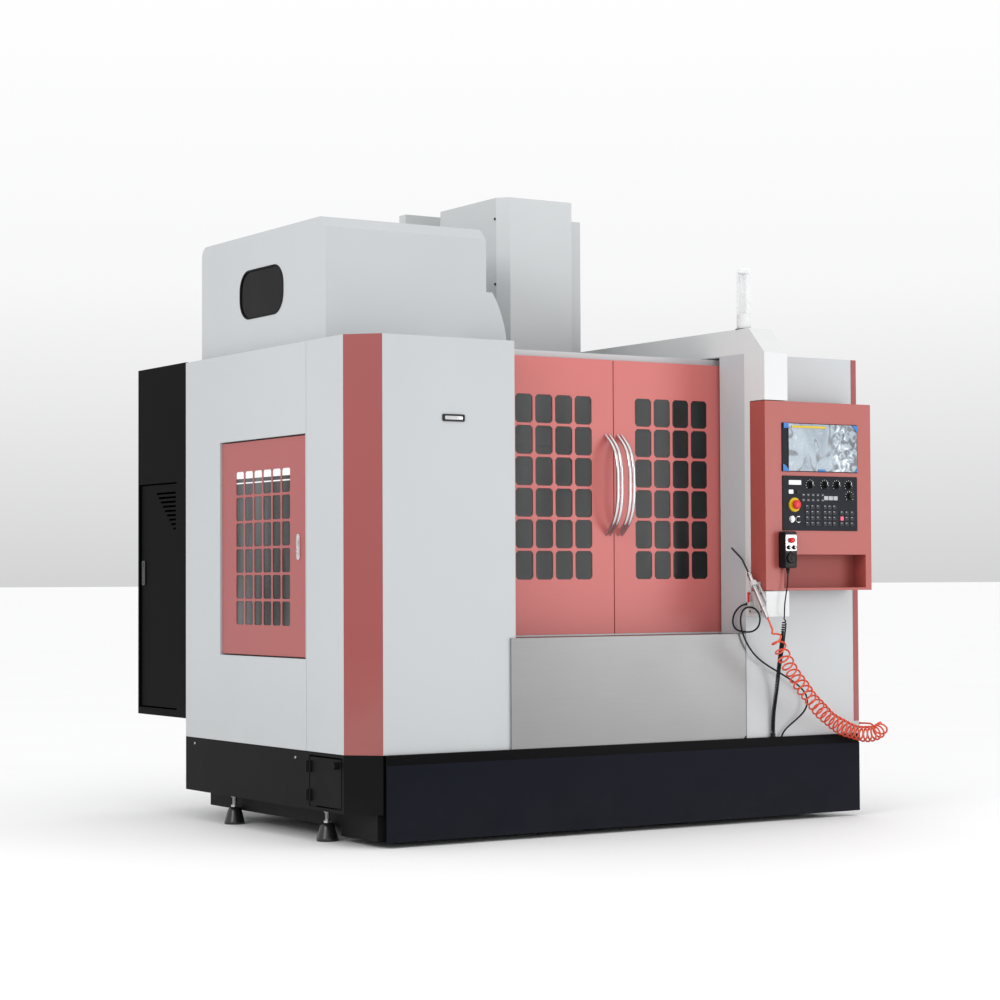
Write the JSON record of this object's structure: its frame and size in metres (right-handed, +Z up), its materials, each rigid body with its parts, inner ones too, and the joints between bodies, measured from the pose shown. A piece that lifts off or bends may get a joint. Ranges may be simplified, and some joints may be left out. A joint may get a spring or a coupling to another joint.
{
  "type": "cnc machining center",
  "caption": "Enclosed vertical machining centre with sliding front doors, tool magazine, head on a column, T-slot table, side cabinet and operator console.",
  "frame": {"origin": "on the floor below the middle of the machine's width and depth", "axes": "+X to the operator's right, +Y to the back, +Z up from the floor"},
  "size_m": [2.617, 2.3251, 2.74],
  "materials": {
    "white_paint": "satin powder coat",
    "red_paint": "satin powder coat",
    "dark_paint": "satin powder coat",
    "casting": "painted casting",
    "ground_steel": "ground",
    "stainless": "brushed",
    "chrome": "polished",
    "dark_pane": "tinted",
    "clear_tube": "clear",
    "charcoal": "matt",
    "black_plastic": "matt",
    "white_plastic": "gloss",
    "red_plastic": "gloss",
    "red_hose": "gloss",
    "black_rubber": "matt",
    "brass_fitting": "machined"
  },
  "bodies": {
    "machine": {"bed": "casting", "column": "casting", "column_cover": "white_paint", "coolant_tank": "dark_paint", "base_front_cover": "dark_paint", "side_skirts": "dark_paint", "levelling_feet": "ground_steel", "front_panels": "white_paint", "corner_posts": "red_paint", "left_side_panel": "white_paint", "right_side_panel": "white_paint", "roof_and_rear": "white_paint", "door_tracks": "stainless", "apron": "stainless", "chip_pans": "stainless", "console_column": "white_paint", "console_box": "red_paint", "display_unit": "charcoal", "operator_panel": "charcoal", "lamp_base": "white_plastic", "lamp_tube": "clear_tube", "magazine_cover": "white_paint", "magazine_window": "dark_pane", "magazine_bracket": "casting", "cabinet": "dark_paint", "cabinet_plate": "white_paint", "pendant_body": "charcoal", "gun_holder": "ground_steel", "air_gun": "black_plastic", "hose_fitting": "brass_fitting", "hose_coil": "red_hose", "pendant_lead": "black_rubber", "pendant_curl": "black_rubber", "pendant_tail": "black_rubber", "air_tube": "black_rubber"},
    "left_door": {"left_door": "red_paint", "left_door_pane": "dark_pane", "left_door_handle": "chrome"},
    "right_door": {"right_door": "red_paint", "right_door_pane": "dark_pane", "right_door_handle": "chrome"},
    "side_door": {"side_door": "red_paint", "side_door_pane": "dark_pane"},
    "cabinet_door": {"cabinet_door": "dark_paint"},
    "skirt_door": {"skirt_door": "dark_paint"},
    "saddle": {"saddle": "casting"},
    "table": {"table": "ground_steel"},
    "head": {"head": "casting", "head_covers": "white_paint"},
    "spindle": {"spindle": "ground_steel"},
    "magazine_disc": {"magazine_disc": "ground_steel"},
    "change_arm": {"change_arm": "ground_steel"},
    "estop_button": {"estop_button": "red_plastic"},
    "start_button": {"start_button": "white_plastic"},
    "stop_button": {"stop_button": "black_plastic"},
    "mode_knob": {"mode_knob": "black_plastic"},
    "rapid_knob": {"rapid_knob": "black_plastic"},
    "feed_knob": {"feed_knob": "black_plastic"},
    "speed_knob": {"speed_knob": "black_plastic"},
    "pendant_wheel": {"pendant_wheel": "ground_steel"}
  },
  "joints": [
    {"name": "left_door_slide", "type": "slide", "parent": "machine", "child": "left_door", "axis": [-1, 0, 0], "range_m": [0, 0.48]},
    {"name": "right_door_slide", "type": "slide", "parent": "machine", "child": "right_door", "axis": [1, 0, 0], "range_m": [0, 0.48]},
    {"name": "side_door_hinge", "type": "hinge", "parent": "machine", "child": "side_door", "pos_m": [-1.24, 0.256, 1.18], "axis": [0, 0, -1], "range_deg": [0, 100]},
    {"name": "cabinet_door_hinge", "type": "hinge", "parent": "machine", "child": "cabinet_door", "pos_m": [-1.24, 0.735, 0.976], "axis": [0, 0, 1], "range_deg": [0, 100]},
    {"name": "skirt_door_hinge", "type": "hinge", "parent": "machine", "child": "skirt_door", "pos_m": [-1.2683, -0.54, 0.245], "axis": [0, 0, -1], "range_deg": [0, 100]},
    {"name": "saddle_y", "type": "slide", "parent": "machine", "child": "saddle", "axis": [0, 1, 0], "range_m": [-0.25, 0.25]},
    {"name": "table_x", "type": "slide", "parent": "saddle", "child": "table", "axis": [1, 0, 0], "range_m": [-0.4, 0.4]},
    {"name": "head_z", "type": "slide", "parent": "machine", "child": "head", "axis": [0, 0, 1], "range_m": [-0.55, 0]},
    {"name": "spindle_spin", "type": "hinge", "parent": "head", "child": "spindle", "pos_m": [0.08, 0, 1.6], "axis": [0, 0, -1], "continuous": true},
    {"name": "magazine_turn", "type": "hinge", "parent": "machine", "child": "magazine_disc", "pos_m": [-0.5, 0, 2.01], "axis": [1, 0, 0], "continuous": true},
    {"name": "arm_swing", "type": "hinge", "parent": "machine", "child": "change_arm", "pos_m": [-0.25, 0, 1.5], "axis": [0, 0, 1], "range_deg": [0, 180]},
    {"name": "estop_press", "type": "slide", "parent": "machine", "child": "estop_button", "axis": [0, 1, 0], "range_m": [0, 0.0035], "stiffness_N_per_m": 1200},
    {"name": "start_press", "type": "slide", "parent": "machine", "child": "start_button", "axis": [0, 1, 0], "range_m": [0, 0.004], "stiffness_N_per_m": 800},
    {"name": "stop_press", "type": "slide", "parent": "machine", "child": "stop_button", "axis": [0, 1, 0], "range_m": [0, 0.004], "stiffness_N_per_m": 800},
    {"name": "mode_turn", "type": "hinge", "parent": "machine", "child": "mode_knob", "pos_m": [0.87509, -1.084, 1.44172], "axis": [0, -1, 0], "range_deg": [-150, 150]},
    {"name": "rapid_turn", "type": "hinge", "parent": "machine", "child": "rapid_knob", "pos_m": [0.95604, -1.084, 1.44172], "axis": [0, -1, 0], "range_deg": [-150, 150]},
    {"name": "feed_turn", "type": "hinge", "parent": "machine", "child": "feed_knob", "pos_m": [1.02295, -1.084, 1.44172], "axis": [0, -1, 0], "range_deg": [-150, 150]},
    {"name": "speed_turn", "type": "hinge", "parent": "machine", "child": "speed_knob", "pos_m": [1.08985, -1.084, 1.44172], "axis": [0, -1, 0], "range_deg": [-150, 150]},
    {"name": "pendant_wheel_turn", "type": "hinge", "parent": "machine", "child": "pendant_wheel", "pos_m": [0.7355, -1.13, 1.12712], "axis": [0, -1, 0], "continuous": true}
  ]
}
